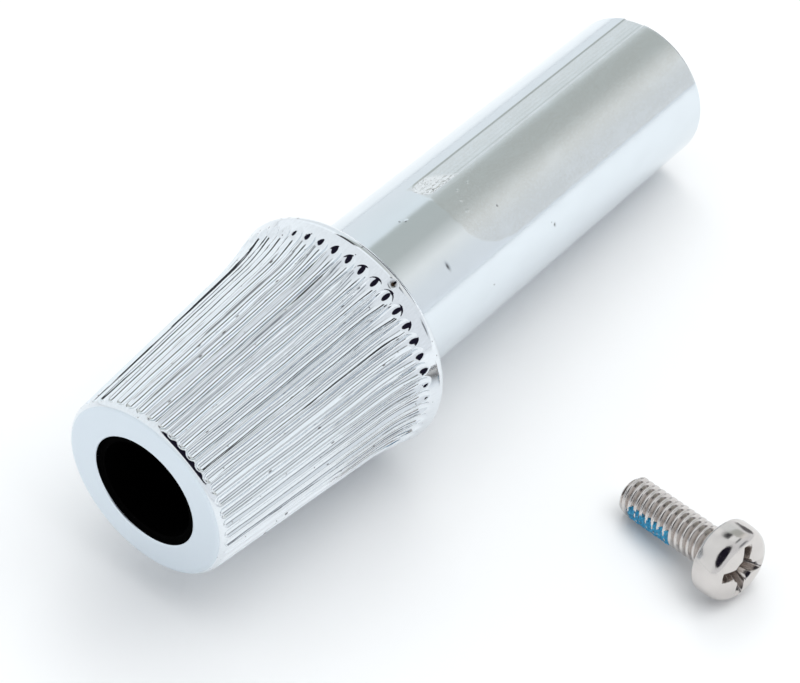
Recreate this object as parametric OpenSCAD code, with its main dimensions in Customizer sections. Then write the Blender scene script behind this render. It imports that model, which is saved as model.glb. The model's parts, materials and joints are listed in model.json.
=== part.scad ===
// Fluted grip knob with a hollow plain shank, a black lining and a loose fixing screw.
// It lies as it would on a bench: on the rear edge of the grip's flange and on the end of
// the shank, with the screw beside it. +Z is up, and +X runs from the grip to the shank's end.

/* [Grip] */
// Length of the grip, from its front face to the back of its flange
grip_len = 29; // [26:0.5:32]
// Diameter of the grip just behind its front face, over the flutes
front_d = 19.4; // [19:0.1:20]
// Diameter over the flutes where the flare of the flange begins
flute_rear_d = 23; // [22.4:0.1:23.6]
// Largest diameter, over the flange
flange_d = 26; // [25:0.25:28]
// Number of flutes round the grip
flute_count = 48; // [40:1:50]
// Radius of the cutter that forms one flute
flute_r = 0.62; // [0.55:0.01:0.66]
// Depth of a flute at the front of the grip
flute_depth_front = 0.28; // [0.15:0.01:0.35]
// Depth of a flute at the back of the grip
flute_depth_rear = 0.42; // [0.25:0.01:0.5]
// Radius of the rounded edge of the front face
front_edge_r = 0.9; // [0.6:0.05:1.1]
// Thickness of the grip's front wall, in front of the shank's spigot
front_wall = 4; // [3:0.5:6]

/* [Shank] */
// Length of the whole knob
overall_len = 81.3; // [70:0.1:100]
// Outer diameter of the shank
shank_d = 17.5; // [16.5:0.1:17.9]
// Diameter of the shank's spigot, which is pressed into the grip
spigot_d = 16; // [15:0.1:16.4]
// Diameter of the hole through the front face and the shank
bore_d = 12.1; // [11.5:0.1:12.6]
// Chamfer at the mouth of the bore and at the end of the shank
edge_chamfer = 0.4; // [0.2:0.05:0.6]
// Width of the shallow keyway along the shank
keyway_w = 2.5; // [1.5:0.1:3]
// Depth of the keyway
keyway_depth = 0.15; // [0.05:0.05:0.4]
// Length of the keyway, from the end of the shank
keyway_len = 39.1; // [20:0.1:42]
// Turn of the keyway round the shank, from the top towards +Y
keyway_turn = 8.7; // [-90:0.1:90]

/* [Lining and hub] */
// Inner diameter of the black lining
lining_bore_d = 10.6; // [9.5:0.1:11]
// Distance from the front face to the hub, where the screw's head seats
hub_at = 48; // [40:1:55]
// Thickness of the hub's web
web_t = 3; // [2:0.5:5]
// Diameter of the screw's clearance hole in the web
web_hole_d = 4.6; // [4.4:0.1:5]
// Diameter of the spindle socket in the hub
socket_d = 8; // [7:0.5:8.5]
// Width of the key slot along the spindle socket
key_slot_w = 2; // [1.5:0.25:2.5]
// Depth of the key slot, outwards from the socket's wall
key_slot_depth = 1; // [0.5:0.25:1]

/* [Screw] */
// Outer diameter of the thread, a No. 8 machine screw
thread_d = 4.166; // [3.5:0.001:4.4]
// Length of the screw under its head
screw_len = 12; // [10:0.1:14]
// Diameter of the pan head
head_d = 8; // [7.6:0.1:9]
// Height of the pan head
head_h = 3.4; // [2.9:0.1:4.1]
// Width across the wings of the cross recess
recess_w = 5.7; // [4:0.1:5.8]
// Width of one wing of the cross recess
recess_wing = 1.15; // [0.8:0.05:1.3]
// Depth of the cross recess
recess_depth = 1.9; // [1.4:0.1:2.1]
// Length of the locking patch along the thread
patch_len = 5.8; // [3:0.1:7]
// Arc of the thread that the locking patch covers, in degrees
patch_arc = 84; // [60:1:100]
// Sideways distance from the knob's axis to the screw's tip
screw_gap = 30; // [25:0.1:45]
// Distance of the screw's tip behind the front of the knob
screw_along = 37.1; // [20:0.1:60]
// Direction that the screw's head points, seen from above, from +X
screw_heading = -101; // [-110:1:-70]

/* [Hidden] */
$fn = 72;
eps = 0.01;

// Grip: radii and stations along its axis, which starts at the front face
front_r = front_d/2;
flange_r = flange_d/2;
bore_r = bore_d/2;
flare_start = 20.5;                 // where the flutes begin to flare to the flange
flange_edge_r = 0.9;                // rounded rear edge of the flange
flange_band = 1.1;                  // width of the flange's plain rim
flute_slope = (flute_rear_d/2 - front_r)/(flare_start - front_edge_r);
flute_start = front_edge_r + 0.05;  // station of the centre of a flute's round front end
flute_end = grip_len - 2.9;         // station of the centre of a flute's round rear end
rim_start = grip_len - flange_band;
arc_steps = 6;

// Shank
shank_r = shank_d/2;
spigot_r = spigot_d/2;
lining_at = edge_chamfer;           // the lining starts just behind the mouth's chamfer
hub_end = overall_len - 1;          // the hub ends just inside the shank

// Attitude: the knob rests on the round of its flange and on the end of its shank
edge_s = grip_len - flange_edge_r;
edge_c = flange_r - flange_edge_r;
rest_a = overall_len - edge_chamfer - edge_s;
rest_b = edge_c - shank_r;
tilt = asin(flange_edge_r/norm([rest_a, rest_b])) + atan2(rest_b, rest_a);
axis_h = edge_s*sin(tilt) + edge_c*cos(tilt) + flange_edge_r;

// Screw: the head's widest circle and the first thread at the tip touch the surface
thread_r = thread_d/2;
head_r = head_d/2;
tip_chamfer = 0.55;
head_rim = 0.45;                    // height of the head's widest circle above its underside
recess_turn = -17;                  // turn of the cross recess from straight down
patch_at = 1.5;                     // distance from the tip to the locking patch
patch_turn = -68;                   // turn of the patch's middle from straight down
patch_depth = 0.25;                 // depth of the pocket that the patch fills
screw_tilt = atan2(head_r - thread_r, screw_len + head_rim - tip_chamfer);
tip_h = thread_r*cos(screw_tilt) - tip_chamfer*sin(screw_tilt);
crown_h = head_h - head_rim;

// Outline of the pan head as [radius, height over its underside]: a short chamfered rim,
// then a full crown, rounded as a superellipse
crown_power = 0.4;
head_outline = concat(
    [[0, 0], [head_r - 0.35, 0], [head_r - 0.1, 0.2]],
    [for (i = [0:12]) let (a = 90*i/12)
        [head_r*pow(cos(a), crown_power), head_rim + crown_h*pow(sin(a), crown_power)]]
);

// Reach of the screw from its tip towards -Y
screw_dip = -cos(screw_tilt)*sin(screw_heading);
screw_reach = max([for (p = head_outline) (screw_len + p[1])*screw_dip + p[0]*sqrt(1 - screw_dip*screw_dip)]);

// Origin: the middle of the box round everything, on the surface
front_x = front_edge_r*cos(tilt) - (front_r - front_edge_r)*sin(tilt) - front_edge_r;
rear_x = overall_len*cos(tilt) + (shank_r - edge_chamfer)*sin(tilt);
knob_x = -(front_x + rear_x)/2;
knob_y = (screw_gap + screw_reach - flange_r)/2;

// Radius over the flutes' crests at a station s: a cone, then a parabola up to the flange
function cone_r(s) = front_r + flute_slope*(s - front_edge_r);
flare = (flange_r - cone_r(rim_start))/pow(rim_start - flare_start, 2);
function crest_r(s) = cone_r(s) + (s > flare_start ? flare*pow(s - flare_start, 2) : 0);

// Path of a flute's cutter: its depth under the crests and the radius of its centre
bar_overlap = 0.2;                  // how far the two bars of a cutter pass each other
function flute_depth(s) = flute_depth_front
    + (flute_depth_rear - flute_depth_front)*(s - flute_start)/(flute_end - flute_start);
function flute_centre(s) = crest_r(s) - flute_depth(s) + flute_r;

// Points of an arc of radius r about c, from angle a0 to a1
function arc(c, r, a0, a1, n = arc_steps) =
    [for (i = [0:n]) let (a = a0 + (a1 - a0)*i/n) [c[0] + r*cos(a), c[1] + r*sin(a)]];

// Outline of the grip as [radius, station]
grip_outline = concat(
    [[bore_r + edge_chamfer, 0]],
    arc([front_r - front_edge_r, front_edge_r], front_edge_r, -90, 0),
    [for (i = [0:8]) let (s = flare_start + (rim_start - flare_start)*i/8) [crest_r(s), s]],
    arc([edge_c, edge_s], flange_edge_r, 0, 90),
    [[spigot_r, grip_len], [spigot_r, front_wall], [bore_r, front_wall], [bore_r, edge_chamfer]]
);

// Places what is drawn along +Z from the front face as the knob lies, with -X upwards
module place_knob() {
    translate([knob_x, knob_y, axis_h]) rotate([0, 90 + tilt, 0]) children();
}

// Places what is drawn along +Z from the screw's tip as the screw lies
module place_screw() {
    translate([knob_x + screw_along, knob_y - screw_gap, tip_h])
        rotate([0, 0, screw_heading]) rotate([0, 90 - screw_tilt, 0]) children();
}

// One flute's cutter: a round bar along the cone and one along the flare, with round ends
module flute_cutter() {
    for (s = [flute_start, flute_end]) translate([flute_centre(s), 0, s]) sphere(r = flute_r, $fn = 24);
    flute_bar(flute_start, flare_start, 0, bar_overlap);
    flute_bar(flare_start, flute_end, bar_overlap, 0);
}

// Bar of a flute's cutter from station s0 to s1, longer by the overlaps before and behind
module flute_bar(s0, s1, before, behind) {
    rise = flute_centre(s1) - flute_centre(s0);
    translate([flute_centre(s0), 0, s0]) rotate([0, atan2(rise, s1 - s0), 0])
        translate([0, 0, -before])
            cylinder(r = flute_r, h = norm([rise, s1 - s0]) + before + behind, $fn = 24);
}

module fluted_grip() {
    color([0.80, 0.82, 0.84]) place_knob()
        difference() {
            rotate_extrude() polygon(grip_outline);
            for (i = [0:flute_count - 1]) rotate([0, 0, 360*(i + 0.5)/flute_count]) flute_cutter();
        }
}

// Plated tube, whose spigot is pressed into the grip until its shoulder meets the flange
module shank_tube() {
    color([0.72, 0.74, 0.76]) place_knob()
        difference() {
            rotate_extrude() polygon([
                [bore_r, front_wall], [spigot_r, front_wall], [spigot_r, grip_len],
                [shank_r, grip_len], [shank_r, overall_len - edge_chamfer],
                [shank_r - edge_chamfer, overall_len], [bore_r + edge_chamfer, overall_len],
                [bore_r, overall_len - edge_chamfer]
            ]);
            rotate([0, 0, 180 - keyway_turn])
                translate([shank_r - keyway_depth, 0, overall_len - keyway_len]) keyway_cutter();
        }
}

// Flat-bottomed cutter with a round front end, which runs out at the end of the shank
module keyway_cutter() {
    rotate([0, 90, 0]) cylinder(d = keyway_w, h = 2);
    translate([0, -keyway_w/2, 0]) cube([2, keyway_w, keyway_len + 1]);
}

// Black bush that lines the bore from the front face to the hub
module bore_lining() {
    color([0.04, 0.04, 0.045]) place_knob()
        difference() {
            translate([0, 0, lining_at]) cylinder(r = bore_r, h = hub_at - lining_at);
            translate([0, 0, lining_at - 1]) cylinder(d = lining_bore_d, h = hub_at);
        }
}

// Metal hub pressed into the shank: a web with the screw's hole, that the screw's head seats
// on, and behind it a socket with a key slot for the spindle
module spindle_hub() {
    color([0.55, 0.55, 0.53]) place_knob()
        difference() {
            translate([0, 0, hub_at]) cylinder(r = bore_r, h = hub_end - hub_at);
            translate([0, 0, hub_at - 1]) cylinder(d = web_hole_d, h = web_t + 2);
            translate([0, 0, hub_at + web_t]) {
                cylinder(d = socket_d, h = overall_len);
                translate([0, -key_slot_w/2, 0])
                    cube([socket_d/2 + key_slot_depth, key_slot_w, overall_len]);
            }
        }
}

// Pan head screw, drawn from its tip; the thread is a plain cylinder over its crests
module fixing_screw() {
    color([0.62, 0.58, 0.54]) place_screw()
        difference() {
            union() {
                cylinder(r1 = thread_r - tip_chamfer, r2 = thread_r, h = tip_chamfer);
                translate([0, 0, tip_chamfer]) cylinder(r = thread_r, h = screw_len - tip_chamfer + eps);
                translate([0, 0, screw_len]) rotate_extrude() polygon(head_outline);
            }
            translate([0, 0, screw_len + head_h - recess_depth]) cross_recess();
            locking_band();
        }
}

// Cross recess: two crossed wings over a round, tapered core
module cross_recess() {
    depth = recess_depth + 1;
    for (turn = [0, 90]) rotate([0, 0, turn + recess_turn])
        translate([-recess_w/2, -recess_wing/2, 0.45]) cube([recess_w, recess_wing, depth]);
    cylinder(d1 = 1.2, d2 = 2.6, h = depth);
}

// The sector of the thread that the locking patch fills, on the side turned to the front
module locking_band() {
    translate([0, 0, patch_at])
        rotate([0, 0, patch_turn - patch_arc/2]) rotate_extrude(angle = patch_arc)
            translate([thread_r - patch_depth, 0]) square([patch_depth + 0.2, patch_len]);
}

module locking_patch() {
    color([0.05, 0.42, 0.66]) place_screw()
        intersection() {
            locking_band();
            cylinder(r = thread_r - 0.01, h = screw_len);
        }
}

fluted_grip();
shank_tube();
bore_lining();
spindle_hub();
fixing_screw();
locking_patch();
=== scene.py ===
"""Looks of a bright-plated knob with a fluted grip and of its loose screw, laid out as an add-on.

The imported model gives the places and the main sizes. The visible surfaces are worked out with
numpy as grids of points, and each finish is a procedural material on Object coordinates or on
values that the surface carries.
"""
import json
import math

import bpy
import numpy as np
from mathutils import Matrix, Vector


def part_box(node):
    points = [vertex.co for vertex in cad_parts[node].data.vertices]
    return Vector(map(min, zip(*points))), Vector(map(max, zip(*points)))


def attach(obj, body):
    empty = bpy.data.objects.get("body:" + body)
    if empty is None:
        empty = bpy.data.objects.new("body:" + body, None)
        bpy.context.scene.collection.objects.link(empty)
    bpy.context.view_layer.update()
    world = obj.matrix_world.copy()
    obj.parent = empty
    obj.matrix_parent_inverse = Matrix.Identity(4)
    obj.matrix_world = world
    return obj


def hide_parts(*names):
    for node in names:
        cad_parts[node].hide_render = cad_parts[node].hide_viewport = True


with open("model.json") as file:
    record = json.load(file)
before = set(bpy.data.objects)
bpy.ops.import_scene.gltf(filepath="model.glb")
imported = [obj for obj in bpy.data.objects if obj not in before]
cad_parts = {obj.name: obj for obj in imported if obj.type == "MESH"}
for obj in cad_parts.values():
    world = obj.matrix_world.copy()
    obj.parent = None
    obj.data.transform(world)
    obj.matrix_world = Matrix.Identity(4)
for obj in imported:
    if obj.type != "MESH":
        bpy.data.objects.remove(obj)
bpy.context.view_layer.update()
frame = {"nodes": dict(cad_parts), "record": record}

bl_info = {
    "name": "Fluted Shank Knob",
    "version": (1, 0, 0),
    "blender": (4, 5, 0),
    "location": "3D View > Sidebar > Knob",
    "description": "Builds the plated grip, the shank, the black bore and the screw, and a stage",
    "category": "Add Mesh",
}

MM = 0.001


# ---------------------------------------------------------------- places from the frame

def mount(name):
    """Position, axis, radius and length of one of the record's mounts, in mm."""
    for entry in frame["record"]["mounts"]:
        if entry["name"] == name:
            dims = entry["dims"]
            pos = np.array(entry["pos_m"]) / MM
            return pos, np.array(entry["axis"]), dims["r_mm"], dims["length_mm"]
    raise RuntimeError(f"the record has no mount named {name}")


class Axis:
    """A round piece's own axis: stations along it, and turns round it from a zero direction."""

    def __init__(self, origin, along, zero):
        self.origin = np.asarray(origin, float)
        self.along = along / np.linalg.norm(along)
        zero = zero - self.along * (zero @ self.along)
        self.zero = zero / np.linalg.norm(zero)
        self.side = np.cross(self.along, self.zero)

    def points(self, station, turn, radius):
        """Points at a station, a turn in radians and a radius, broadcast together, in mm."""
        station, turn, radius = np.broadcast_arrays(station, turn, radius)
        across = radius * np.cos(turn)
        aside = radius * np.sin(turn)
        return (self.origin + station[..., None] * self.along
                + across[..., None] * self.zero + aside[..., None] * self.side)

    def angles(self):
        """Euler angles that turn +X to the axis, for the Mapping nodes of the finishes."""
        return Vector(self.along).to_track_quat("X", "Z").to_euler()


MOUTH = 0.4                     # chamfer at the bore's mouth and at the shank's end, as in the CAD
UP = np.array([0.0, 0.0, 1.0])
SHANK_POS, SHANK_AXIS, SHANK_R, SHANK_RUN = mount("shank")
BORE_POS, BORE_AXIS, LINING_R, LINING_RUN = mount("front_bore")
KNOB = Axis(BORE_POS + BORE_AXIS * (LINING_RUN / 2 + MOUTH), SHANK_AXIS, UP)
GRIP_LEN = float((SHANK_POS - KNOB.origin) @ KNOB.along) - SHANK_RUN / 2
KNOB_LEN = GRIP_LEN + SHANK_RUN + MOUTH
FLANGE_R = float(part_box("fluted_grip")[1].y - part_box("fluted_grip")[0].y) / MM / 2
BORE_R = LINING_R + 0.75        # the black lining's wall is 0.75 mm
SPIGOT_R = SHANK_R - 0.75       # the shank's spigot, pressed into the grip
JOINT = 0.12                    # width and depth of the joint line beside the flange
FRONT_WALL = 4.0                # the grip's wall in front of the spigot
FLUTE_END = GRIP_LEN - 3.1      # where the flutes reach their full width, before their egg ends
FLARE_END = GRIP_LEN - 1.1      # where the flare meets the flange's largest circle
NO_FLUTE = 99.0                 # a radius for the places that no flute reaches

THREAD_POS, THREAD_AXIS, THREAD_R, THREAD_RUN = mount("screw_thread")
TIP_CHAMFER = 0.55
SCREW_LEN = THREAD_RUN + TIP_CHAMFER
SCREW = Axis(THREAD_POS + THREAD_AXIS * (THREAD_RUN / 2 + TIP_CHAMFER), -THREAD_AXIS, -UP)


# ---------------------------------------------------------------- properties

def size(name, description, default):
    """A length in millimetres, as a property."""
    return bpy.props.FloatProperty(name=name, description=description, default=default,
                                   min=0.0, max=100.0, precision=3)


def colour(name, description, default):
    """A colour, as a property."""
    return bpy.props.FloatVectorProperty(name=name, description=description, default=default,
                                         size=3, min=0.0, max=1.0, subtype="COLOR")


class KnobGripSizes(bpy.types.PropertyGroup):
    """Sizes of the fluted grip, in mm, and the colour of its plating."""

    flute_count: bpy.props.IntProperty(
        name="Flutes", description="Number of flutes round the grip", default=48, min=20, max=60)
    front_radius: size("Front radius", "Radius just behind the front face", 9.7)
    cone_radius: size("Cone radius", "Radius where the flare to the flange begins", 11.5)
    front_edge: size("Front edge", "Radius of the front face's rounded edge", 0.9)
    rear_edge: size("Rear edge", "Radius of the flange's rounded rear edge", 0.9)
    flare_start: size("Flare start", "Distance from the front to the start of the flare", 20.5)
    flute_radius: size("Flute radius", "Radius of one flute's hollow", 0.62)
    depth_front: size("Front depth", "Depth of a flute at the front", 0.30)
    depth_rear: size("Rear depth", "Depth of a flute at the back", 0.46)
    unevenness: size("Unevenness", "How far the casting's flutes wander", 0.03)
    plating: colour("Plating", "Colour of the plating", (0.80, 0.84, 0.875))


class KnobShankSizes(bpy.types.PropertyGroup):
    """Sizes of the shank's marks, in mm, and the colours of its plating."""

    keyway_width: size("Keyway width", "Width of the shallow keyway", 2.5)
    keyway_depth: size("Keyway depth", "Depth of the shallow keyway", 0.15)
    keyway_start: size("Keyway start", "Distance of its round end from the front", 41.9)
    keyway_turn: bpy.props.FloatProperty(
        name="Keyway turn", description="Turn of the keyway's middle from the top",
        default=math.radians(-8.7), subtype="ANGLE")
    dull_depth: size("Dull depth", "How deep the duller area lies", 0.022)
    plating: colour("Plating", "Colour of the plating", (0.745, 0.80, 0.84))
    dull_plating: colour("Dull plating", "Colour of the duller area", (0.68, 0.71, 0.715))


class KnobScrewSizes(bpy.types.PropertyGroup):
    """Sizes of the screw and its patch, in mm, and the colour of its plating."""

    pitch: size("Pitch", "Pitch of the thread", 25.4 / 32)
    thread_depth: size("Thread depth", "Depth from crest to root", 0.43)
    head_radius: size("Head radius", "Largest radius of the pan head", 4.0)
    head_height: size("Head height", "Height of the pan head", 3.4)
    head_rim: size("Head rim", "Height of the widest circle over the underside", 0.45)
    recess_reach: size("Recess reach", "Reach of the cross recess's wings", 2.85)
    recess_core: size("Recess core", "Radius between the wings", 1.35)
    recess_wing: size("Recess wing", "Width of one wing", 1.15)
    recess_depth: size("Recess depth", "Depth of the cross recess", 1.9)
    recess_turn: bpy.props.FloatProperty(
        name="Recess turn", description="Turn of the cross recess from straight down",
        default=math.radians(-17), subtype="ANGLE")
    patch_start: size("Patch start", "Distance from the tip to the locking patch", 1.5)
    patch_len: size("Patch length", "Length of the locking patch", 5.8)
    patch_turn: bpy.props.FloatProperty(
        name="Patch turn", description="Turn of the patch's middle from straight down",
        default=math.radians(-68), subtype="ANGLE")
    patch_arc: bpy.props.FloatProperty(
        name="Patch arc", description="Arc of the thread that the patch covers",
        default=math.radians(84), subtype="ANGLE")
    nickel: colour("Nickel", "Colour of the screw's plating", (0.66, 0.63, 0.61))


class KnobStage(bpy.types.PropertyGroup):
    """Light, paper and camera."""

    key: bpy.props.FloatProperty(name="Key light", description="Power of the key light",
                                 default=0.40, min=0.0, unit="POWER")
    fill: bpy.props.FloatProperty(name="Fill light", description="Power of the fill light",
                                  default=1.62, min=0.0, unit="POWER")
    surround: bpy.props.FloatProperty(name="Surround", description="Strength of the surround",
                                      default=1.0, min=0.0)
    lens: bpy.props.FloatProperty(name="Lens", description="Focal length of the camera",
                                  default=101.83, unit="CAMERA")
    azimuth: bpy.props.FloatProperty(
        name="Azimuth", description="Direction that the camera looks in, seen from above",
        default=math.radians(-51.62), subtype="ANGLE")
    elevation: bpy.props.FloatProperty(
        name="Elevation", description="How far the camera looks down",
        default=math.radians(47.77), subtype="ANGLE")
    distance: size("Distance", "Distance from the camera to the paper, in mm", 241.5)
    paper: colour("Paper", "Colour of the paper that it lies on", (0.94, 0.95, 0.96))


# ---------------------------------------------------------------- surfaces

def quads(index, close_rows=False, close_columns=False):
    """Four-sided faces between the neighbours in a table of point numbers."""
    if close_rows:
        index = np.vstack([index, index[:1]])
    if close_columns:
        index = np.hstack([index, index[:, :1]])
    corners = (index[:-1, :-1], index[1:, :-1], index[1:, 1:], index[:-1, 1:])
    return np.stack(corners, -1).reshape(-1, 4)


def fan(ring, centre):
    """Triangles from each side of a ring of point numbers to one centre point."""
    return np.stack([ring, np.roll(ring, -1), np.full(ring.size, centre)], -1)


def make_piece(name, points, faces, values=None):
    """A mesh object from points in mm, lists of faces and the values that its points carry."""
    mesh = bpy.data.meshes.new(name)
    lists = [face for group in faces for face in group.tolist()]
    mesh.from_pydata((np.reshape(points, (-1, 3)) * MM).tolist(), [], lists)
    mesh.polygons.foreach_set("use_smooth", np.ones(len(mesh.polygons), bool))
    for key, value in (values or {}).items():
        layer = mesh.attributes.new(key, "FLOAT", "POINT")
        layer.data.foreach_set("value", np.asarray(value, np.float32).ravel())
    mesh.update()
    piece = bpy.data.objects.new(name, mesh)
    bpy.context.scene.collection.objects.link(piece)
    return piece


def hand_over(piece, body, slot, material, *nodes):
    """Gives a piece its finish and its body, and hides the CAD nodes that it stands for. The slot is
    not used.
    """
    piece.data.materials.append(material)
    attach(piece, body)
    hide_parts(*nodes)


def smooth_min(a, b, blend):
    """The smaller of two surfaces, with a fillet of about the blend's size where they meet."""
    mix = np.clip(0.5 + 0.5 * (b - a) / blend, 0.0, 1.0)
    return b * (1 - mix) + a * mix - blend * mix * (1 - mix)


def smooth_step(low, high, value):
    """Goes from 0 at low to 1 at high, level at both ends, even where low is the larger."""
    t = np.clip((value - low) / (high - low), 0.0, 1.0)
    return t * t * (3 - 2 * t)


def dimple(station, arc_pos, at_station, at_arc, half_len, half_arc):
    """A round or oval dent: 1 in the middle, falling as a bell to a fifth at its edge."""
    far = ((station - at_station) / half_len) ** 2 + ((arc_pos - at_arc) / half_arc) ** 2
    return np.exp(-1.6 * far)


def arc(centre_s, centre_r, radius, start, stop, count):
    """Stations and radii along an arc: 0 degrees points outwards and 90 to the rear."""
    angle = np.radians(np.linspace(start, stop, count))
    return centre_s + radius * np.sin(angle), centre_r + radius * np.cos(angle)


def joined(parts):
    """Stretches of an outline, each a pair of stations and radii, joined end to end."""
    return (np.concatenate([np.atleast_1d(p[0]) for p in parts]),
            np.concatenate([np.atleast_1d(p[1]) for p in parts]))


def crest_radius(station, sizes):
    """Radius over the flutes: a cone, then a parabola that meets the flange's largest circle."""
    slope = (sizes.cone_radius - sizes.front_radius) / (sizes.flare_start - sizes.front_edge)
    cone = sizes.front_radius + slope * (station - sizes.front_edge)
    at_end = sizes.front_radius + slope * (FLARE_END - sizes.front_edge)
    bend = (FLANGE_R - at_end) / (FLARE_END - sizes.flare_start) ** 2
    return cone + bend * np.clip(station - sizes.flare_start, 0, None) ** 2


def grip_outline(sizes):
    """The grip's outline as a closed loop of stations and radii: the bore's lip, the face, its
    rounded edge, the cone and flare, the flange's rounded edge, the rear face and the bores.
    Its stations are close together where the flutes begin and end."""
    lip, front, rear = 0.14, sizes.front_edge, sizes.rear_edge
    body = np.concatenate([np.arange(front + 0.05, 1.7, 0.06), np.arange(1.8, 20.0, 0.7),
                           np.arange(20.4, 25.2, 0.5), np.arange(25.3, 27.0, 0.06),
                           np.linspace(27.05, FLARE_END, 7)])
    face_r = np.linspace(BORE_R + 0.4, sizes.front_radius - front - 0.15, 6)
    return joined([
        (np.array([MOUTH + 0.05, 0.3]), np.full(2, BORE_R)),
        arc(lip, BORE_R + lip, lip, 180, 270, 5),
        (np.zeros(6), face_r),
        arc(front, sizes.front_radius - front, front, -90, 0, 14),
        (body, crest_radius(body, sizes)),
        arc(GRIP_LEN - rear, FLANGE_R - rear, rear, 0, 90, 9),
        (np.array([GRIP_LEN, GRIP_LEN, FRONT_WALL, FRONT_WALL]),
         np.array([SHANK_R, SPIGOT_R, SPIGOT_R, BORE_R])),
    ])


def flute_floor(station, turn, sizes):
    """Radius of the nearest flute's hollow: a round bar of the flute's radius runs under the
    crests, ends in a ball at the front, and swells and ends in a longer egg at the back.
    Seeded offsets make each flute wander a little, as flutes in a casting do."""
    rng = np.random.default_rng(11)
    pitch = 2 * math.pi / sizes.flute_count
    index = np.floor(turn / pitch).astype(int) % sizes.flute_count
    wave = rng.uniform(0, 2 * math.pi, (4, sizes.flute_count))[:, index]
    deeper = rng.normal(0, sizes.unevenness * 0.8, sizes.flute_count)[index]
    aside = sizes.unevenness * (0.6 * np.sin(0.34 * station + wave[0])
                                + 0.5 * np.sin(0.9 * station + wave[1]))
    deeper = deeper + sizes.unevenness * (0.5 * np.sin(0.5 * station + wave[2])
                                          + 0.25 * np.sin(1.9 * station + wave[3]))
    start = sizes.front_edge + 0.05
    along = np.clip((station - start) / (FLUTE_END - start), 0.0, 1.0)
    depth = sizes.depth_front + (sizes.depth_rear - sizes.depth_front) * along
    swell, swell_len, egg = 0.26, 2.5, 0.7
    full_r = sizes.flute_radius + swell * smooth_step(FLUTE_END - swell_len, FLUTE_END, station)
    bar = crest_radius(station, sizes) - depth - deeper + full_r
    past = np.maximum(np.maximum(start - station, egg * (station - FLUTE_END)), 0.0)
    bar_r = np.sqrt(np.maximum(full_r ** 2 - past ** 2, 0.0))
    offset = bar * np.sin(turn % pitch - pitch / 2) + aside
    reach = bar_r ** 2 - offset ** 2
    return np.where(reach > 0, bar - np.sqrt(np.maximum(reach, 0.0)), NO_FLUTE)


def build_grip(sizes):
    """The grip: its outline carried round the axis and cut by the flutes, with a casting pit
    near the flange's edge. The masks mark the front face and the pit."""
    columns = sizes.flute_count * 16
    station, radius = grip_outline(sizes)
    station, radius = station[:, None], radius[:, None]
    turn = (np.arange(columns) * 2 * math.pi / columns)[None, :]
    outside = (radius > sizes.front_radius - 0.6) & (station < GRIP_LEN - 1.3)
    hollow = flute_floor(station, turn, sizes)
    cut = np.where(outside & (hollow < NO_FLUTE), smooth_min(radius, hollow, 0.05), radius)
    arc_pos = ((turn + math.pi) % (2 * math.pi) - math.pi) * FLANGE_R
    pit_at, pit_turn, pit_depth = 27.75, math.radians(31.7), 0.30
    pit = dimple(station, arc_pos, pit_at, pit_turn * FLANGE_R, 0.36, 0.38)
    pit = pit * ((station > 27.0) & (radius > 11.9))
    cut = cut - pit_depth * pit
    face = (station < 0.12) & (radius > BORE_R) & (radius < sizes.front_radius - 0.4)
    index = np.arange(cut.size).reshape(cut.shape)
    return make_piece("grip_casting", KNOB.points(station, turn, cut), [quads(index, True, True)],
                      {"face": face + 0 * turn, "pit": pit})


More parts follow.
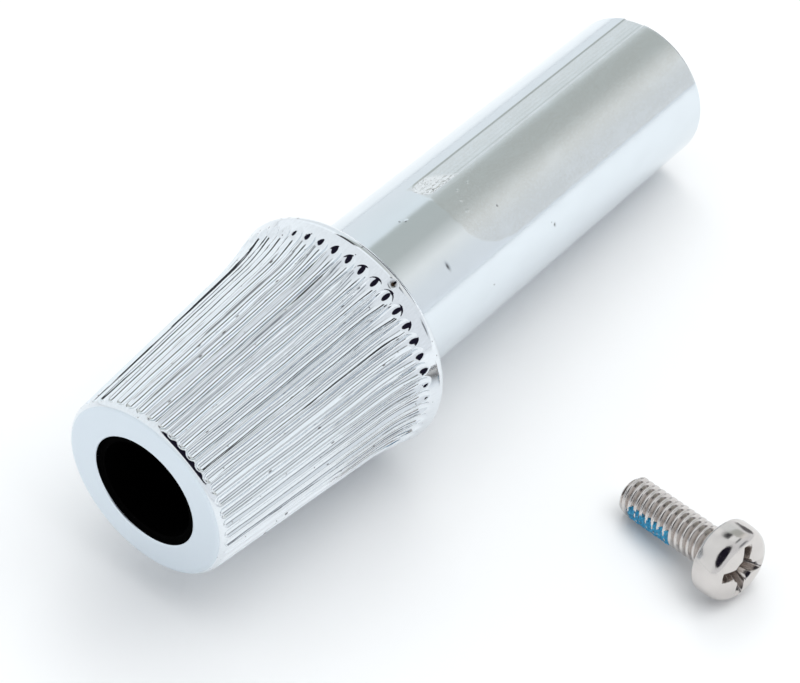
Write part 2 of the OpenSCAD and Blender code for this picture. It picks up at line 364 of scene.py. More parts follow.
def shank_marks(station, turn, sizes):
    """How far the shank's surface lies below its round, and the masks of its marks. The keyway
    has a lined floor, between round and flat, and a torn round end. The shallow duller area has
    a rounded corner. A chatter mark, a few pits and a few raised nibs are added."""
    rng = np.random.default_rng(5)
    offset = (turn - sizes.keyway_turn) * SHANK_R
    half = sizes.keyway_width / 2
    ahead = np.maximum(sizes.keyway_start + half - station, 0.0)
    slot = smooth_step(0.06, -0.06, np.hypot(ahead, offset) - half)
    flatness, least_depth = 0.4, 0.03       # flatness 0 would be round and 1 flat
    floor = (SHANK_R - sizes.keyway_depth) / np.cos(flatness * (turn - sizes.keyway_turn))
    lines = 0.009 * np.sin(offset * 12.5 + 0.8) + 0.004 * np.sin(offset * 31.0 + 1.0)
    sunk = slot * (np.maximum(SHANK_R - floor, least_depth) + lines)
    torn = slot * smooth_step(sizes.keyway_start + 4.4, sizes.keyway_start + 3.4,
                              station - 0.9 * offset)
    sunk = sunk + torn * rng.normal(0, 0.022, torn.shape)

    arc_pos = turn * SHANK_R
    # the duller area: its rounded corner, then its sides at the keyway and low on the shank
    corner_s, corner_a, reach_s, reach_a = 48.4, 4.66, 6.5, 4.2
    over_s = (corner_s - station) / reach_s
    over_a = (arc_pos - corner_a) / reach_a
    rim = np.where((over_s > 0) & (over_a > 0), np.hypot(over_s, over_a), np.maximum(over_s, over_a))
    ragged = 0.012 * np.sin(arc_pos * 3.1) + 0.010 * np.sin(station * 2.3 + arc_pos)
    dull = smooth_step(1.03, 0.97, rim + ragged) * smooth_step(-0.32, -0.28, turn)
    dull = dull * smooth_step(2.0, 1.9, turn)
    sunk = sunk + sizes.dull_depth * dull * (1 - slot)

    chatter = smooth_step(66.4, 66.7, station) * smooth_step(67.5, 67.2, station)
    chatter = chatter * smooth_step(0.06, 0.0, turn) * smooth_step(-0.32, -0.26, turn)
    sunk = sunk + 0.02 * chatter * np.sin(station * 16 + arc_pos * 5)
    pit = 0.0
    for at_s, degrees, half_len, half_arc in ((37.5, 45, 0.2, 0.5), (53.3, 73, 0.16, 0.26),
                                              (35.0, 66, 0.12, 0.12), (42.6, 79, 0.1, 0.1)):
        pit = pit + dimple(station, arc_pos, at_s, math.radians(degrees) * SHANK_R,
                           half_len, half_arc)
    nib = 0.0
    for at_s, degrees in ((45.0, 10), (46.7, 10), (43.8, 25), (44.3, 17), (37.8, 4)):
        nib = nib + dimple(station, arc_pos, at_s, math.radians(degrees) * SHANK_R, 0.16, 0.16)
    pit_depth, nib_height = 0.09, 0.045
    sunk = sunk + pit_depth * np.clip(pit, 0, 1) - nib_height * np.clip(nib, 0, 1)
    return sunk, {"dull": dull, "torn": torn, "pit": np.clip(pit, 0, 1)}


def build_shank(sizes):
    """The shank: its outline carried round the axis, with rows and columns set close together
    where there are marks. The spigot and the bore close the loop."""
    inner_edge = 0.3
    runs = ((29.25, 36.8, 1.0), (36.8, 38.2, 0.12), (38.3, 40.8, 0.8), (40.9, 48.0, 0.14),
            (48.2, 52.9, 0.8), (52.95, 53.7, 0.12), (53.9, 66.0, 0.9), (66.2, 67.7, 0.12),
            (67.9, KNOB_LEN - 0.6, 0.8))
    side = np.concatenate([np.arange(a, b, step) for a, b, step in runs])
    station, radius = joined([
        (np.array([FRONT_WALL, FRONT_WALL, GRIP_LEN, GRIP_LEN]),
         np.array([BORE_R, SPIGOT_R, SPIGOT_R, SHANK_R - JOINT])),
        (np.array([GRIP_LEN + JOINT]), np.array([SHANK_R])),
        (side, np.full(side.size, SHANK_R)),
        arc(KNOB_LEN - MOUTH, SHANK_R - MOUTH, MOUTH, 0, 90, 7),
        arc(KNOB_LEN - inner_edge, BORE_R + inner_edge, inner_edge, 90, 180, 6),
    ])
    fine = np.radians(np.arange(-24, 82, 0.5))
    coarse = np.radians(np.arange(82, 336, 3.0))
    turn = np.concatenate([fine, coarse])[None, :]
    station, radius = station[:, None], radius[:, None]
    sunk, masks = shank_marks(station, turn, sizes)
    on_side = smooth_step(SHANK_R - 0.5, SHANK_R - 0.02, radius) * (station > GRIP_LEN + 0.1)
    values = {key: value * on_side for key, value in masks.items()}
    radius = radius - sunk * on_side
    index = np.arange(radius.size).reshape(radius.shape)
    return make_piece("shank_skin", KNOB.points(station, turn, radius), [quads(index, True, True)],
                      values)


def thread_radius(station, turn, sizes):
    """Radius of the screw's thread, and how far it has fallen from crest to root, from 0 to 1.
    Its crest is flat for about a quarter of a pitch and climbs one pitch a turn. Its flanks are
    straight, eased at crest and root. The tip's chamfer cuts it off."""
    phase = (station / sizes.pitch - turn / (2 * math.pi)) % 1.0
    crest_half, flank = 0.12, 0.36      # shares of the pitch
    across = np.abs(phase - 0.5)
    fall = smooth_step(crest_half, crest_half + flank, across) * 0.35
    fall = fall + 0.65 * np.clip((across - crest_half) / flank, 0, 1)
    threaded = THREAD_R - sizes.thread_depth * fall
    slope = 1.25
    tip = THREAD_R - TIP_CHAMFER * slope + station * slope
    return smooth_min(threaded, tip, 0.06), fall


def cross_outline(turn, depth_share, sizes):
    """Radius of the cross recess's edge at a turn: four wings with straight sides round a core.
    Deeper down, the wings are shorter and thinner and the core is smaller."""
    quarter = (turn - sizes.recess_turn + math.pi / 4) % (math.pi / 2) - math.pi / 4
    reach = sizes.recess_reach * (1 - 0.50 * depth_share)
    half = sizes.recess_wing / 2 * (1 - 0.35 * depth_share)
    core = sizes.recess_core * (1 - 0.50 * depth_share)
    side = half / np.maximum(np.abs(np.sin(quarter)), 1e-3)
    wing = smooth_min(side, reach, 0.18)
    return -smooth_min(-wing, -core, 0.12)


def crown_height(radius, sizes):
    """Height of the pan head over its widest circle at a radius: a full superellipse."""
    share = np.clip(radius / sizes.head_radius, 0, 1)
    return (sizes.head_height - sizes.head_rim) * (1 - share ** 4) ** 0.25


def build_screw(sizes):
    """The screw from its tip: the thread, the head's underside and crown, rings that change
    from a circle to the cross recess's edge, the recess's walls and its floor."""
    columns = 192
    turn = (np.arange(columns) * 2 * math.pi / columns)[None, :]
    stations, radii, valleys = [], [], []

    def lay(station, radius, valley=0.0):
        """Adds rows of points, given as whole rows or as one value for each row."""
        given = [np.reshape(v, (-1, 1)) if np.ndim(v) == 1 else v for v in (station, radius, valley)]
        for rows, value in zip((stations, radii, valleys), np.broadcast_arrays(*given, turn)):
            rows.append(value)

    rows_s = np.concatenate([np.linspace(0.0, 0.6, 10), np.arange(0.65, SCREW_LEN - 0.05, 0.055)])
    rows_s = rows_s[:, None]
    lay(rows_s, *thread_radius(rows_s, turn, sizes))
    rim = SCREW_LEN + sizes.head_rim
    lay([SCREW_LEN, SCREW_LEN, SCREW_LEN + 0.06, SCREW_LEN + 0.22],
        [THREAD_R, sizes.head_radius - 0.45, sizes.head_radius - 0.28, sizes.head_radius - 0.06], 0.3)
    angle = np.radians(np.concatenate([np.linspace(0, 12, 7), np.linspace(14, 54, 18)]))
    circle = sizes.head_radius * np.cos(angle) ** 0.5
    lay(rim + crown_height(circle, sizes), circle)
    last = circle[-1]
    blend = np.linspace(0.12, 1.0, 14)[:, None]
    edge = cross_outline(turn, 0.0, sizes)
    radius = last + (edge - last) * blend
    drop = 0.05 * smooth_step(0.9, 1.0, blend)
    lay(rim + crown_height(radius, sizes) - drop, radius)
    share = np.linspace(0.0, 1.0, 12)[1:, None]
    wall = cross_outline(turn, share, sizes) - 0.03
    top = rim + crown_height(edge, sizes) - 0.05
    floor = SCREW_LEN + sizes.head_height - sizes.recess_depth
    lay(top + (floor - top) * share, wall, 0.4 + 0.6 * share)
    inner = np.array([0.75, 0.5, 0.25])[:, None]
    bottom = cross_outline(turn, 1.0, sizes) * inner
    lay(floor - 0.35 * (1 - inner), bottom, 1.0)

    station, radius, valley = np.vstack(stations), np.vstack(radii), np.vstack(valleys)
    points = SCREW.points(station, turn, radius).reshape(-1, 3)
    index = np.arange(station.size).reshape(station.shape)
    # one point closes the tip and one closes the recess's floor
    ends = SCREW.points(np.array([0.02, floor - 0.42]), 0.0, 0.0)
    faces = [quads(index, False, True), fan(index[0][::-1], station.size)[:, ::-1],
             fan(index[-1], station.size + 1)]
    # the valley value sets how much painted shade a point gets: none on the crests, most at the
    # thread's roots and on the recess's floor
    values = {"valley": np.append(valley.ravel(), [0.0, 1.0])}
    return make_piece("screw_body", np.vstack([points, ends]), faces, values)


def build_patch(sizes):
    """The locking patch: a thin pillow of nylon over the thread's valleys, whose outer sheet
    stands a little over the thread and dives under it along a ragged edge."""
    rng = np.random.default_rng(3)
    station = np.linspace(sizes.patch_start, sizes.patch_start + sizes.patch_len, 120)[:, None]
    turn = sizes.patch_turn + np.linspace(-0.5, 0.5, 56)[None, :] * sizes.patch_arc
    metal, fall = thread_radius(station, turn, sizes)
    across = np.abs(turn - sizes.patch_turn) / (sizes.patch_arc / 2)
    along = np.abs(station - station.mean()) / (sizes.patch_len / 2)
    ragged = 0.10 * np.sin(station * 9.0) + 0.08 * np.sin(station * 21 + 2) + 0.06 * np.sin(turn * 17)
    blots = np.sin(station * 13 + 5 * turn) * np.sin(station * 7.7 - 9 * turn + 1)
    ragged = ragged + 0.10 * blots
    cover = smooth_step(1.0, 0.86, across + ragged * 0.9) * smooth_step(1.0, 0.90, along + ragged * 0.2)
    fuzz = rng.normal(0, 0.02, metal.shape)
    cover = cover * smooth_step(-0.30, 0.05, fall + 0.50 * blots + 5 * fuzz)
    filled = metal + sizes.thread_depth * 0.5 * fall + 0.05 + fuzz
    outer = np.where(cover > 0.02, metal - 0.10 + (filled - metal + 0.10) * cover, metal - 0.10)
    under_edge = 0.12
    outer[0], outer[-1] = metal[0] - under_edge, metal[-1] - under_edge
    outer[:, 0], outer[:, -1] = metal[:, 0] - under_edge, metal[:, -1] - under_edge
    inner = np.minimum(outer - 0.05, THREAD_R - sizes.thread_depth - under_edge)
    rows, columns = outer.shape
    top = np.arange(rows * columns).reshape(rows, columns)
    under = top.copy()
    under[1:-1, 1:-1] = rows * columns + np.arange((rows - 2) * (columns - 2)).reshape(rows - 2, -1)
    station, turn = np.broadcast_arrays(station, turn)
    points = np.vstack([SCREW.points(station, turn, outer).reshape(-1, 3),
                        SCREW.points(station, turn, inner)[1:-1, 1:-1].reshape(-1, 3)])
    return make_piece("nylon_patch", points, [quads(top), quads(under)[:, ::-1]])


# ---------------------------------------------------------------- finishes

def add(tree, kind, links=None, **settings):
    """A shader node with its settings, and with inputs given as sockets or plain values."""
    node = tree.nodes.new(kind)
    for key, value in settings.items():
        setattr(node, key, value)
    for key, value in (links or {}).items():
        socket = node.inputs[key]
        if isinstance(value, bpy.types.NodeSocket):
            tree.links.new(value, socket)
        else:
            socket.default_value = value
    return node


def new_group(name, inputs, outputs):
    """An empty node group with named inputs and outputs, and its two end nodes."""
    tree = bpy.data.node_groups.new(name, "ShaderNodeTree")
    for key, kind, default in inputs:
        socket = tree.interface.new_socket(key, in_out="INPUT", socket_type=kind)
        if default is not None:
            socket.default_value = default
    for key, kind in outputs:
        tree.interface.new_socket(key, in_out="OUTPUT", socket_type=kind)
    return tree, tree.nodes.new("NodeGroupInput"), tree.nodes.new("NodeGroupOutput")


def specks_group():
    """Small pits scattered in space: a few of the cells of a Voronoi pattern have a dot."""
    name = "Plating specks"
    if name in bpy.data.node_groups:
        return bpy.data.node_groups[name]
    tree, start, end = new_group(
        name, [("Vector", "NodeSocketVector", None), ("Scale", "NodeSocketFloat", 1500.0),
               ("Share", "NodeSocketFloat", 0.1), ("Size", "NodeSocketFloat", 0.2)],
        [("Mask", "NodeSocketFloat")])
    cells = add(tree, "ShaderNodeTexVoronoi",
                {"Vector": start.outputs["Vector"], "Scale": start.outputs["Scale"]})
    chosen = add(tree, "ShaderNodeSeparateColor", {"Color": cells.outputs["Color"]})
    picked = add(tree, "ShaderNodeMath", {0: chosen.outputs["Red"], 1: start.outputs["Share"]},
                 operation="LESS_THAN")
    dot = add(tree, "ShaderNodeMath", {0: cells.outputs["Distance"], 1: start.outputs["Size"]},
              operation="LESS_THAN")
    both = add(tree, "ShaderNodeMath", {0: picked.outputs[0], 1: dot.outputs[0]},
               operation="MULTIPLY")
    tree.links.new(both.outputs[0], end.inputs["Mask"])
    return tree


def grain_group():
    """Fine uneven grain: layered noise, brought to a chosen range."""
    name = "Surface grain"
    if name in bpy.data.node_groups:
        return bpy.data.node_groups[name]
    tree, start, end = new_group(
        name, [("Vector", "NodeSocketVector", None), ("Scale", "NodeSocketFloat", 1000.0),
               ("Detail", "NodeSocketFloat", 4.0), ("Low", "NodeSocketFloat", 0.0),
               ("High", "NodeSocketFloat", 1.0)],
        [("Value", "NodeSocketFloat"), ("Height", "NodeSocketFloat")])
    noise = add(tree, "ShaderNodeTexNoise",
                {"Vector": start.outputs["Vector"], "Scale": start.outputs["Scale"],
                 "Detail": start.outputs["Detail"]})
    spread = add(tree, "ShaderNodeMapRange",
                 {"Value": noise.outputs[0], "From Min": 0.3, "From Max": 0.7,
                  "To Min": start.outputs["Low"], "To Max": start.outputs["High"]})
    tree.links.new(spread.outputs[0], end.inputs["Value"])
    tree.links.new(noise.outputs[0], end.inputs["Height"])
    return tree


def use(tree, group, **values):
    """A node group placed in a material, with its inputs as sockets or plain values."""
    return add(tree, "ShaderNodeGroup", values, node_tree=group)


def new_material(name):
    """A material with its Principled shader, and its tree."""
    material = bpy.data.materials.new(name)
    material.use_nodes = True
    tree = material.node_tree
    shader = next(n for n in tree.nodes if n.type == "BSDF_PRINCIPLED")
    return material, tree, shader


def on_axis(tree, axis, stretch=(1.0, 1.0, 1.0)):
    """Object coordinates centred on a round piece's axis and turned so that X runs along it."""
    place = add(tree, "ShaderNodeTexCoord").outputs["Object"]
    centred = add(tree, "ShaderNodeMapping",
                  {"Vector": place, "Location": [c * MM for c in axis.origin],
                   "Rotation": axis.angles()}, vector_type="TEXTURE")
    scaled = add(tree, "ShaderNodeMapping", {"Vector": centred.outputs[0], "Scale": stretch})
    return scaled.outputs[0]


def carried(tree, key):
    """A value that the surface's points carry."""
    return add(tree, "ShaderNodeAttribute", attribute_name=key).outputs["Fac"]


def blend_colour(tree, share, first, second):
    """A colour between two, by a share."""
    node = add(tree, "ShaderNodeMix", data_type="RGBA")
    for index, value in ((0, share), (6, first), (7, second)):
        if isinstance(value, bpy.types.NodeSocket):
            tree.links.new(value, node.inputs[index])
        else:
            node.inputs[index].default_value = value if index == 0 else (*value, 1.0)
    return node.outputs[2]


def maths(tree, operation, first, second=0.0, third=None):
    """The result of a Math node."""
    values = {0: first, 1: second}
    if third is not None:
        values[2] = third
    return add(tree, "ShaderNodeMath", values, operation=operation).outputs[0]


def bumps(tree, shader, *layers):
    """Chains Bump nodes, each a height, a strength and a depth in metres, into the normal."""
    normal = None
    for height, strength, depth in layers:
        links = {"Height": height, "Strength": strength, "Distance": depth}
        if normal is not None:
            links["Normal"] = normal
        normal = add(tree, "ShaderNodeBump", links).outputs[0]
    tree.links.new(normal, shader.inputs["Normal"])


def grain(tree, axis, scale, detail, stretch=(1.0, 1.0, 1.0), low=0.0, high=1.0):
    """Grain round a piece's axis: its value between low and high, and its height."""
    node = use(tree, grain_group(), Vector=on_axis(tree, axis, stretch), Scale=scale,
               Detail=detail, Low=low, High=high)
    return node.outputs["Value"], node.outputs["Height"]


def specks(tree, axis, scale, share, dot, stretch=(1.0, 1.0, 1.0)):
    """Specks round a piece's axis, as a mask: the share of cells that have one, and its size."""
    return use(tree, specks_group(), Vector=on_axis(tree, axis, stretch), Scale=scale,
               Share=share, Size=dot).outputs["Mask"]


def wash(tree, mask, strength, under, over):
    """A colour laid over another where a mask is, at a share of full strength."""
    return blend_colour(tree, maths(tree, "MULTIPLY", mask, strength), under, over)


def darker(tint, share):
    """A colour brought down to a share of its brightness."""
    return tuple(c * share for c in tint)


def plate(tree, shader, tint, rough):
    """Makes a finish a metal with this colour and roughness."""
    tree.links.new(tint, shader.inputs["Base Color"])
    tree.links.new(rough, shader.inputs["Roughness"])
    shader.inputs["Metallic"].default_value = 1.0


def casting_finish(sizes):
    """Bright plating over a casting: mirror-like, with lines along the flutes, small pits, a
    brown pit near the flange's edge and a finely rubbed, duller front face."""
    material, tree, shader = new_material("Plated casting")
    face, pit = carried(tree, "face"), carried(tree, "pit")
    streak, streak_height = grain(tree, KNOB, 5200.0, 3.0, (0.10, 1.0, 1.0))
    cloud, cloud_height = grain(tree, KNOB, 420.0, 3.0)
    rubbed_height = grain(tree, KNOB, 9000.0, 2.0, (1.0, 0.25, 1.0))[1]
    dash = specks(tree, KNOB, 2600.0, 0.07, 0.20, (0.34, 1.0, 1.0))
    dot = specks(tree, KNOB, 3200.0, 0.022, 0.22)
    faults = maths(tree, "MULTIPLY", maths(tree, "MAXIMUM", dash, dot),
                   maths(tree, "SUBTRACT", 1.0, face))
    tint = wash(tree, streak, 0.30, sizes.plating, darker(sizes.plating, 0.80))
    tint = wash(tree, face, 0.8, tint, (0.66, 0.735, 0.80))
    tint = wash(tree, faults, 0.8, tint, (0.10, 0.095, 0.10))
    tint = wash(tree, pit, 1.4, tint, (0.05, 0.032, 0.02))
    rough = maths(tree, "MULTIPLY_ADD", cloud, 0.04, 0.05)
    rough = maths(tree, "MULTIPLY_ADD", face, 0.26, rough)
    rough = maths(tree, "MULTIPLY_ADD", faults, 0.3, rough)
    plate(tree, shader, tint, rough)
    bumps(tree, shader, (streak_height, 0.14, 0.00002), (cloud_height, 0.22, 0.00005),
          (maths(tree, "MULTIPLY", rubbed_height, face), 0.12, 0.00001),
          (maths(tree, "SUBTRACT", 1.0, faults), 0.6, 0.00003))
    return material


def tube_finish(sizes):
    """Satin-bright plating over fine turned marks, with a duller, mottled area, a torn bright
    keyway end, specks and small pits."""
    material, tree, shader = new_material("Plated tube")
    dull, torn, pit = (carried(tree, key) for key in ("dull", "torn", "pit"))
    turned_height = grain(tree, KNOB, 7000.0, 2.0, (1.0, 0.05, 0.05))[1]
    cloud, cloud_height = grain(tree, KNOB, 500.0, 5.0, (0.5, 1.0, 1.0))
    fine, fine_height = grain(tree, KNOB, 4200.0, 3.0)
    dot = specks(tree, KNOB, 700.0, 0.03, 0.10)
    mottle = maths(tree, "MULTIPLY_ADD", maths(tree, "MULTIPLY", fine, cloud), 1.3, 0.55)
    worn = maths(tree, "MULTIPLY", dull, mottle)
    tint = blend_colour(tree, worn, sizes.plating, sizes.dull_plating)
    tint = wash(tree, cloud, 0.22, tint, darker(sizes.plating, 0.86))
    tint = wash(tree, torn, 0.6, tint, (0.95, 0.96, 0.97))
    dark = maths(tree, "MAXIMUM", pit, maths(tree, "MULTIPLY", dot, 0.45))
    tint = blend_colour(tree, dark, tint, (0.05, 0.05, 0.055))
    rough = maths(tree, "MULTIPLY_ADD", cloud, 0.05, 0.10)
    rough = maths(tree, "MULTIPLY_ADD", dull, 0.10, rough)
    plate(tree, shader, tint, rough)
    bumps(tree, shader, (turned_height, 0.12, 0.00002), (fine_height, 0.10, 0.00002),
          (cloud_height, 0.15, 0.00005))
    return material


def nylon_black_finish():
    """Matt black moulding with a very fine spark texture. Its black is the lining's own, made far
    blacker and less shiny than real nylon as painted shade deep in the bore.
    """
    material, tree, shader = new_material("Black nylon")
    rough, height = grain(tree, KNOB, 3000.0, 4.0, low=0.75, high=0.95)
    # the lining's own black, brought near zero as painted shade in the bore
    tint = blend_colour(tree, height, (0.0002, 0.0002, 0.0002), (0.0008, 0.0008, 0.0009))
    tree.links.new(tint, shader.inputs["Base Color"])
    tree.links.new(rough, shader.inputs["Roughness"])
    # almost no reflection, as painted shade in the bore
    shader.inputs["Specular IOR Level"].default_value = 0.01
    bumps(tree, shader, (height, 0.3, 0.00003))
    return material


def turned_steel_finish():
    """Turned steel: rings round the axis in colour, roughness and height."""
    material, tree, shader = new_material("Turned steel")
    rough, height = grain(tree, KNOB, 6000.0, 3.0, (1.0, 0.05, 0.05), 0.22, 0.42)
    plate(tree, shader, blend_colour(tree, height, (0.42, 0.41, 0.39), (0.60, 0.59, 0.57)), rough)
    bumps(tree, shader, (height, 0.3, 0.00003))
    return material


def nickel_finish(sizes):
    """Warm nickel plating, with painted shade: darker and browner deep in the thread's valleys and down
    into the recess.
    """
    material, tree, shader = new_material("Nickel plating")
    cloud, cloud_height = grain(tree, SCREW, 900.0, 4.0)
    fine_height = grain(tree, SCREW, 6500.0, 3.0)[1]
    dot = specks(tree, SCREW, 1600.0, 0.05, 0.16)
    # painted shade: the deeper a point lies in the thread or the recess, the darker and browner it is
    deep = maths(tree, "POWER", carried(tree, "valley"), 2.6)
    tint = wash(tree, cloud, 0.30, sizes.nickel, darker(sizes.nickel, 0.80))
    tint = wash(tree, deep, 0.60, tint, (0.30, 0.235, 0.20))
    tint = wash(tree, dot, 0.5, tint, (0.16, 0.13, 0.11))
    plate(tree, shader, tint, maths(tree, "MULTIPLY_ADD", cloud, 0.07, 0.10))
    bumps(tree, shader, (fine_height, 0.18, 0.00002), (cloud_height, 0.25, 0.00005))
    return material


def nylon_blue_finish():
    """Blue sprayed nylon: rough grains, pale specks and dark gaps between them."""
    material, tree, shader = new_material("Blue nylon")
    shade, height = grain(tree, SCREW, 3600.0, 4.0)
    pale = specks(tree, SCREW, 4200.0, 0.30, 0.32)
    gap = specks(tree, SCREW, 3100.0, 0.22, 0.30)
    tint = blend_colour(tree, shade, (0.008, 0.17, 0.36), (0.035, 0.40, 0.66))
    tint = wash(tree, pale, 0.6, tint, (0.20, 0.66, 0.80))
    tint = wash(tree, gap, 0.7, tint, (0.03, 0.07, 0.10))
    tree.links.new(tint, shader.inputs["Base Color"])
    shader.inputs["Roughness"].default_value = 0.55
    bumps(tree, shader, (height, 0.6, 0.00006))
    return material


def paper_finish(stage):
    """Smooth white paper with a very faint tooth."""
    material, tree, shader = new_material("Paper")
    place = add(tree, "ShaderNodeTexCoord").outputs["Object"]
    tooth = use(tree, grain_group(), Vector=place, Scale=700.0, Detail=3.0)
    tint = wash(tree, tooth.outputs["Value"], 0.04, stage.paper, darker(stage.paper, 0.97))
    tree.links.new(tint, shader.inputs["Base Color"])
    shader.inputs["Roughness"].default_value = 0.9
    shader.inputs["Specular IOR Level"].default_value = 0.1
    return material


# ---------------------------------------------------------------- light

def camera_side(stage):
    """Direction from the paper towards the camera. At azimuth 0 the camera looks along +Y."""
    level = math.cos(stage.elevation)
    return (math.sin(stage.azimuth) * level, -math.cos(stage.azimuth) * level,
            math.sin(stage.elevation))


def bands(tree, share, stops):
    """Colours by a share of a full turn, from pairs of degrees and a colour."""
    ramp = add(tree, "ShaderNodeValToRGB", {"Fac": share})
    elements = ramp.color_ramp.elements
    while len(elements) < len(stops):
        elements.new(0.5)
    for element, (degrees, tint) in zip(elements, stops):
        element.position = degrees / 360 + 0.5
        element.color = (*tint, 1.0)
    return ramp.outputs["Color"]


def fade(tree, value, low, high):
    """Goes from 0 at the low value to 1 at the high one."""
    return add(tree, "ShaderNodeMapRange", {"Value": value, "From Min": low,
                                            "From Max": high}).outputs[0]


COOL = (0.92, 0.95, 0.98)       # the tent's cloth in shade
BRIGHT = (1.06, 1.09, 1.11)     # lit gaps between the slats
BLACK_SLAT = (0.045, 0.045, 0.05)
GREY_SLAT = (0.28, 0.29, 0.30)
SIDE_SLAT = (0.24, 0.25, 0.27)
DARK_END = (0.16, 0.16, 0.17)
OPENING = (0.012, 0.010, 0.020)
SLATS_FROM = (0.24, 0.30)       # the X of a direction, where each blend begins and ends
PANEL_FROM = (0.54, 0.58)
TENT_FROM = (0.86, 0.90)
DARK_FROM = (0.93, 0.95)
OPENING_EDGE = (34, 31)         # degrees off the camera's direction, from outside to inside


def surround(stage):
    """The world: a white tent in bands of brightness by the turn round the X axis. Going along
    +X, the tent gives way to dark slats, to a grey panel, to tent again and to a dark end. A
    dark opening lies round the camera."""
    world = bpy.data.worlds.new("Tent")
    bpy.context.scene.world = world
    world.use_nodes = True
    tree = world.node_tree
    background = next(n for n in tree.nodes if n.type == "BACKGROUND")
    direction = add(tree, "ShaderNodeTexCoord").outputs["Generated"]
    parts = add(tree, "ShaderNodeSeparateXYZ", {"Vector": direction})
    towards = maths(tree, "MULTIPLY", parts.outputs["Y"], -1.0)
    turn = maths(tree, "ARCTAN2", towards, parts.outputs["Z"])
    share = maths(tree, "MULTIPLY_ADD", turn, 1 / (2 * math.pi), 0.5)
    tent = bands(tree, share, (
        (-180, COOL), (-80, (0.98, 1.01, 1.03)), (-30, (0.95, 0.98, 1.00)),
        (20, (0.90, 0.92, 0.94)), (60, (0.86, 0.88, 0.91)), (180, COOL)))
    slats = bands(tree, share, (
        (-180, COOL), (-60, BRIGHT), (-34, BRIGHT), (-31, BLACK_SLAT), (-15, BLACK_SLAT),
        (-12, BRIGHT), (26, (0.98, 1.01, 1.03)), (30, GREY_SLAT), (40, GREY_SLAT),
        (44, (0.86, 0.89, 0.92)), (70, (0.82, 0.85, 0.88)), (73, SIDE_SLAT), (82, SIDE_SLAT),
        (85, (0.82, 0.85, 0.88)), (120, (0.86, 0.89, 0.92)), (180, (0.90, 0.93, 0.96))))
    panel = bands(tree, share, (
        (-180, COOL), (-92, COOL), (-80, (0.90, 0.93, 0.95)),
        (-33, (0.90, 0.95, 0.97)), (-29, (0.55, 0.58, 0.56)), (8, (0.55, 0.57, 0.55)),
        (22, (0.72, 0.73, 0.71)), (38, (0.94, 0.94, 0.92)), (62, (0.86, 0.88, 0.90)),
        (86, (0.86, 0.88, 0.91)), (89, (0.90, 0.93, 0.97)), (180, COOL)))
    tint = tent
    for limits, beyond in ((SLATS_FROM, slats), (PANEL_FROM, panel), (TENT_FROM, tent),
                           (DARK_FROM, DARK_END)):
        tint = blend_colour(tree, fade(tree, parts.outputs["X"], *limits), tint, beyond)
    facing = add(tree, "ShaderNodeVectorMath", {0: direction, 1: camera_side(stage)},
                 operation="DOT_PRODUCT").outputs["Value"]
    opening = fade(tree, facing, *(math.cos(math.radians(edge)) for edge in OPENING_EDGE))
    tint = blend_colour(tree, opening, tint, OPENING)
    tree.links.new(tint, background.inputs["Color"])
    background.inputs["Strength"].default_value = stage.surround


def soft_light(name, towards, far, width, power):
    """A square soft light in a direction from the origin, a distance away and a width across,
    both in metres. It faces the origin, and the plating doesn't mirror it."""
    lamp = bpy.data.lights.new(name, "AREA")
    lamp.size, lamp.energy, lamp.color = width, power, (1.0, 0.99, 0.97)
    holder = bpy.data.objects.new(name, lamp)
    bpy.context.scene.collection.objects.link(holder)
    towards = Vector(towards).normalized()
    holder.location = towards * far
    holder.rotation_euler = towards.to_track_quat("Z", "Y").to_euler()
    holder.visible_glossy = False


def paper_sheet(stage):
    """The paper: a wide, flat grid that the knob and the screw lie on."""
    half, count = 900.0, 25
    line = np.linspace(-half, half, count)
    x, y = np.meshgrid(line, line, indexing="ij")
    points = np.stack([x, y, np.zeros_like(x)], -1)
    index = np.arange(x.size).reshape(x.shape)
    paper = make_piece("paper", points, [quads(index)])
    paper.data.materials.append(paper_finish(stage))


def camera(stage):
    """The camera: it looks down at a point on the paper near the knob's middle."""
    view = bpy.data.cameras.new("Camera")
    view.lens, view.sensor_width, view.clip_start = stage.lens, 36.0, 5 * MM
    holder = bpy.data.objects.new("Camera", view)
    bpy.context.scene.collection.objects.link(holder)
    ahead, aside = 40.16, 1.66
    target = np.array([KNOB.origin[0] + ahead, KNOB.origin[1] + aside, 0.0])
    back = np.array(camera_side(stage))
    holder.location = Vector((target + back * stage.distance) * MM)
    holder.rotation_euler = Vector(back).to_track_quat("Z", "Y").to_euler()
    bpy.context.scene.camera = holder


# ---------------------------------------------------------------- operators and panel

class KNOB_OT_grip(bpy.types.Operator):
    """Builds the fluted grip and gives it its plating"""

    bl_idname = "knob.grip"
    bl_label = "Fluted grip"

    def execute(self, context):
        sizes = context.scene.knob_grip
        hand_over(build_grip(sizes), "knob", "chromed_casting", casting_finish(sizes),
                  "fluted_grip")
        return {"FINISHED"}


class KNOB_OT_shank(bpy.types.Operator):
    """Builds the shank and gives it its plating"""

    bl_idname = "knob.shank"
    bl_label = "Shank"

    def execute(self, context):
        sizes = context.scene.knob_shank
        hand_over(build_shank(sizes), "knob", "plated_tube", tube_finish(sizes), "shank_tube")
        return {"FINISHED"}


class KNOB_OT_inside(bpy.types.Operator):
    """Gives the black lining and the steel hub their finishes"""

    bl_idname = "knob.inside"
    bl_label = "Lining and hub"

    def execute(self, context):
        for node, material in (("bore_lining", nylon_black_finish()),
                               ("spindle_hub", turned_steel_finish())):
            mesh = frame["nodes"][node].data
            mesh.materials.clear()
            mesh.materials.append(material)
        return {"FINISHED"}


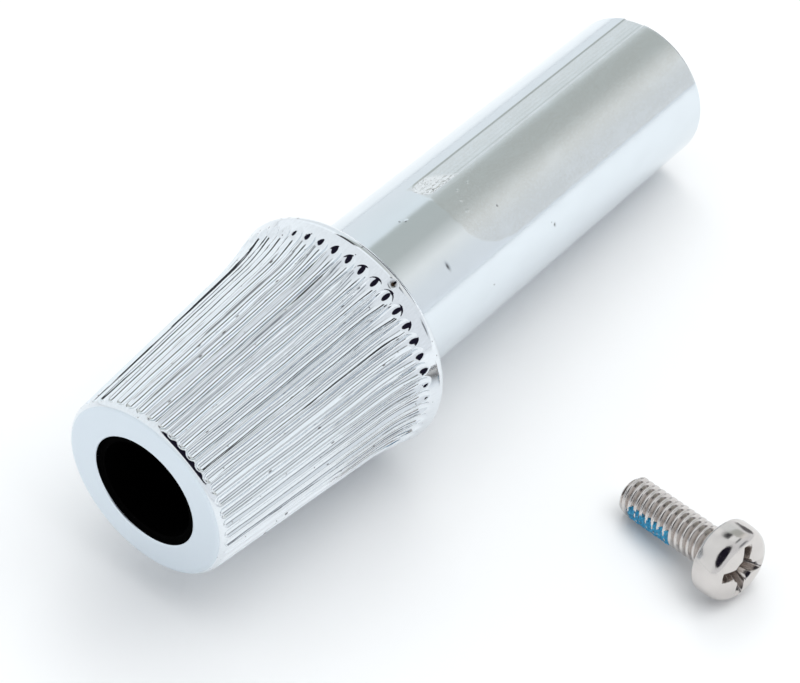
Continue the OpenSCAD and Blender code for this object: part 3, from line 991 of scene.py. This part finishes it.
class KNOB_OT_screw(bpy.types.Operator):
    """Builds the screw and its locking patch"""

    bl_idname = "knob.screw"
    bl_label = "Screw"

    def execute(self, context):
        sizes = context.scene.knob_screw
        hand_over(build_screw(sizes), "screw", "screw_steel", nickel_finish(sizes), "fixing_screw")
        hand_over(build_patch(sizes), "screw", "blue_nylon", nylon_blue_finish(), "locking_patch")
        return {"FINISHED"}


class KNOB_OT_stage(bpy.types.Operator):
    """Lays the paper and sets the light and the camera"""

    bl_idname = "knob.stage"
    bl_label = "Stage"

    def execute(self, context):
        stage = context.scene.knob_stage
        paper_sheet(stage)
        surround(stage)
        soft_light("Key", (0.50, 0.32, 0.80), far=0.50, width=0.22, power=stage.key)
        soft_light("Fill", (0.10, -0.30, 0.95), far=0.60, width=0.50, power=stage.fill)
        camera(stage)
        context.scene.view_settings.view_transform = "Standard"
        return {"FINISHED"}


class KNOB_PT_panel(bpy.types.Panel):
    """Lists the operators, in the order in which they run, and their settings"""

    bl_idname = "KNOB_PT_panel"
    bl_label = "Fluted Shank Knob"
    bl_space_type = "VIEW_3D"
    bl_region_type = "UI"
    bl_category = "Knob"

    def draw(self, context):
        column = self.layout.column()
        for name in STEPS:
            column.operator(f"knob.{name}")
        for group in GROUPS:
            settings = getattr(context.scene, group)
            box = column.box()
            for key in settings.__annotations__:
                box.prop(settings, key)


STEPS = ("grip", "shank", "inside", "screw", "stage")
GROUPS = {"knob_grip": KnobGripSizes, "knob_shank": KnobShankSizes,
          "knob_screw": KnobScrewSizes, "knob_stage": KnobStage}
CLASSES = (*GROUPS.values(), KNOB_OT_grip, KNOB_OT_shank, KNOB_OT_inside, KNOB_OT_screw,
           KNOB_OT_stage, KNOB_PT_panel)


def register():
    """Registers the classes and hangs the settings on the scene."""
    for item in CLASSES:
        bpy.utils.register_class(item)
    for key, group in GROUPS.items():
        setattr(bpy.types.Scene, key, bpy.props.PointerProperty(type=group))


def unregister():
    """Takes the settings and the classes away again."""
    for key in GROUPS:
        delattr(bpy.types.Scene, key)
    for item in reversed(CLASSES):
        bpy.utils.unregister_class(item)


def main():
    """Runs every step."""
    register()
    for name in STEPS:
        getattr(bpy.ops.knob, name)()


if __name__ == "__main__":
    main()
